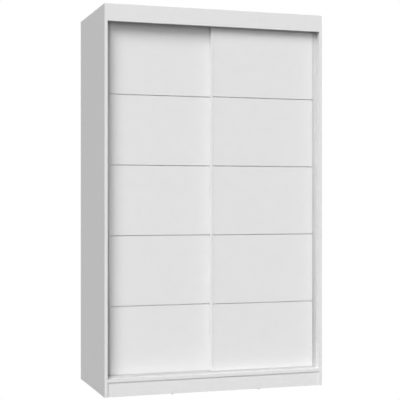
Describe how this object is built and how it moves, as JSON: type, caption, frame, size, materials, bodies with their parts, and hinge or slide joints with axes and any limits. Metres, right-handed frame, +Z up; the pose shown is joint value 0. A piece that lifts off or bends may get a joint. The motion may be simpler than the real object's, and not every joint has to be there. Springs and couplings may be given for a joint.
{
  "type": "sliding door wardrobe",
  "caption": "Tall white wardrobe with overlapping sliding doors on roller tracks, grooved fronts, vertical edge grips, shelves and a hanging rail.",
  "frame": {"origin": "at floor level under the middle of the wardrobe's width and depth", "axes": "+X to the right and +Z up, seen from the front; the doors face -Y"},
  "size_m": [1.2, 0.605, 2],
  "materials": {
    "carcass_board": "white melamine-faced chipboard, satin",
    "door_board": "white foiled fibreboard with milled grooves, satin",
    "back_board": "thin fibreboard, white-printed inside, bare brown behind",
    "white_aluminium": "white powder-coated extrusion",
    "silver_aluminium": "natural anodised extrusion, satin",
    "chromed_steel": "chromed tube",
    "zinc_plated_steel": "zinc plated",
    "grey_plastic": "moulded light grey",
    "wheel_plastic": "moulded nylon",
    "brush_pile": "short synthetic pile",
    "beech": "plain fluted beech"
  },
  "bodies": {
    "carcass": {"left_side_panel": "carcass_board", "right_side_panel": "carcass_board", "top_panel": "carcass_board", "bottom_panel": "carcass_board", "front_fascia": "carcass_board", "front_plinth": "carcass_board", "rear_plinth": "carcass_board", "plinth_brace": "carcass_board", "centre_partition": "carcass_board", "back_panel_left": "back_board", "back_panel_right": "back_board", "shelf_1": "carcass_board", "shelf_2": "carcass_board", "shelf_3": "carcass_board", "shelf_4": "carcass_board", "shelf_5": "carcass_board", "hat_shelf": "carcass_board", "hanging_rail": "chromed_steel", "rail_bracket_left": "zinc_plated_steel", "rail_bracket_right": "zinc_plated_steel", "rail_screws": "zinc_plated_steel", "top_track": "silver_aluminium", "bottom_track": "silver_aluminium", "top_track_screws": "zinc_plated_steel", "bottom_track_screws": "zinc_plated_steel", "track_stops": "grey_plastic", "cam_locks": "zinc_plated_steel", "cam_bolts": "zinc_plated_steel", "dowels": "beech", "housing_screws": "zinc_plated_steel", "shelf_pins": "zinc_plated_steel", "back_nails": "zinc_plated_steel", "floor_glides": "grey_plastic", "wall_brackets": "zinc_plated_steel", "wall_bracket_screws": "zinc_plated_steel"},
    "left_door": {"left_door_board": "door_board", "left_grip_profile": "silver_aluminium", "left_edge_profile": "white_aluminium", "left_dust_brush": "brush_pile", "left_top_guides": "grey_plastic", "left_roller_housings": "grey_plastic", "left_roller_axles": "zinc_plated_steel", "left_roller_screws": "zinc_plated_steel"},
    "right_door": {"right_door_board": "door_board", "right_grip_profile": "silver_aluminium", "right_edge_profile": "white_aluminium", "right_dust_brush": "brush_pile", "right_top_guides": "grey_plastic", "right_roller_housings": "grey_plastic", "right_roller_axles": "zinc_plated_steel", "right_roller_screws": "zinc_plated_steel"},
    "left_outer_roller": {"left_outer_wheel": "wheel_plastic"},
    "left_inner_roller": {"left_inner_wheel": "wheel_plastic"},
    "right_outer_roller": {"right_outer_wheel": "wheel_plastic"},
    "right_inner_roller": {"right_inner_wheel": "wheel_plastic"}
  },
  "joints": [
    {"name": "left_door_slide", "type": "slide", "parent": "carcass", "child": "left_door", "axis": [1, 0, 0], "range_m": [0, 0.563]},
    {"name": "right_door_slide", "type": "slide", "parent": "carcass", "child": "right_door", "axis": [1, 0, 0], "range_m": [-0.563, 0]},
    {"name": "left_outer_roller_spin", "type": "hinge", "parent": "left_door", "child": "left_outer_roller", "pos_m": [-0.5125, -0.2315, 0.1127], "axis": [0, 1, 0], "continuous": true},
    {"name": "left_inner_roller_spin", "type": "hinge", "parent": "left_door", "child": "left_inner_roller", "pos_m": [-0.0505, -0.2315, 0.1127], "axis": [0, 1, 0], "continuous": true},
    {"name": "right_outer_roller_spin", "type": "hinge", "parent": "right_door", "child": "right_outer_roller", "pos_m": [0.5125, -0.256, 0.1127], "axis": [0, 1, 0], "continuous": true},
    {"name": "right_inner_roller_spin", "type": "hinge", "parent": "right_door", "child": "right_inner_roller", "pos_m": [0.0505, -0.256, 0.1127], "axis": [0, 1, 0], "continuous": true}
  ],
  "couplings": [
    {"joint": "left_outer_roller_spin", "follows": "left_door_slide", "rad_per_m": 90.909},
    {"joint": "left_inner_roller_spin", "follows": "left_door_slide", "rad_per_m": 90.909},
    {"joint": "right_outer_roller_spin", "follows": "right_door_slide", "rad_per_m": 90.909},
    {"joint": "right_inner_roller_spin", "follows": "right_door_slide", "rad_per_m": 90.909}
  ]
}
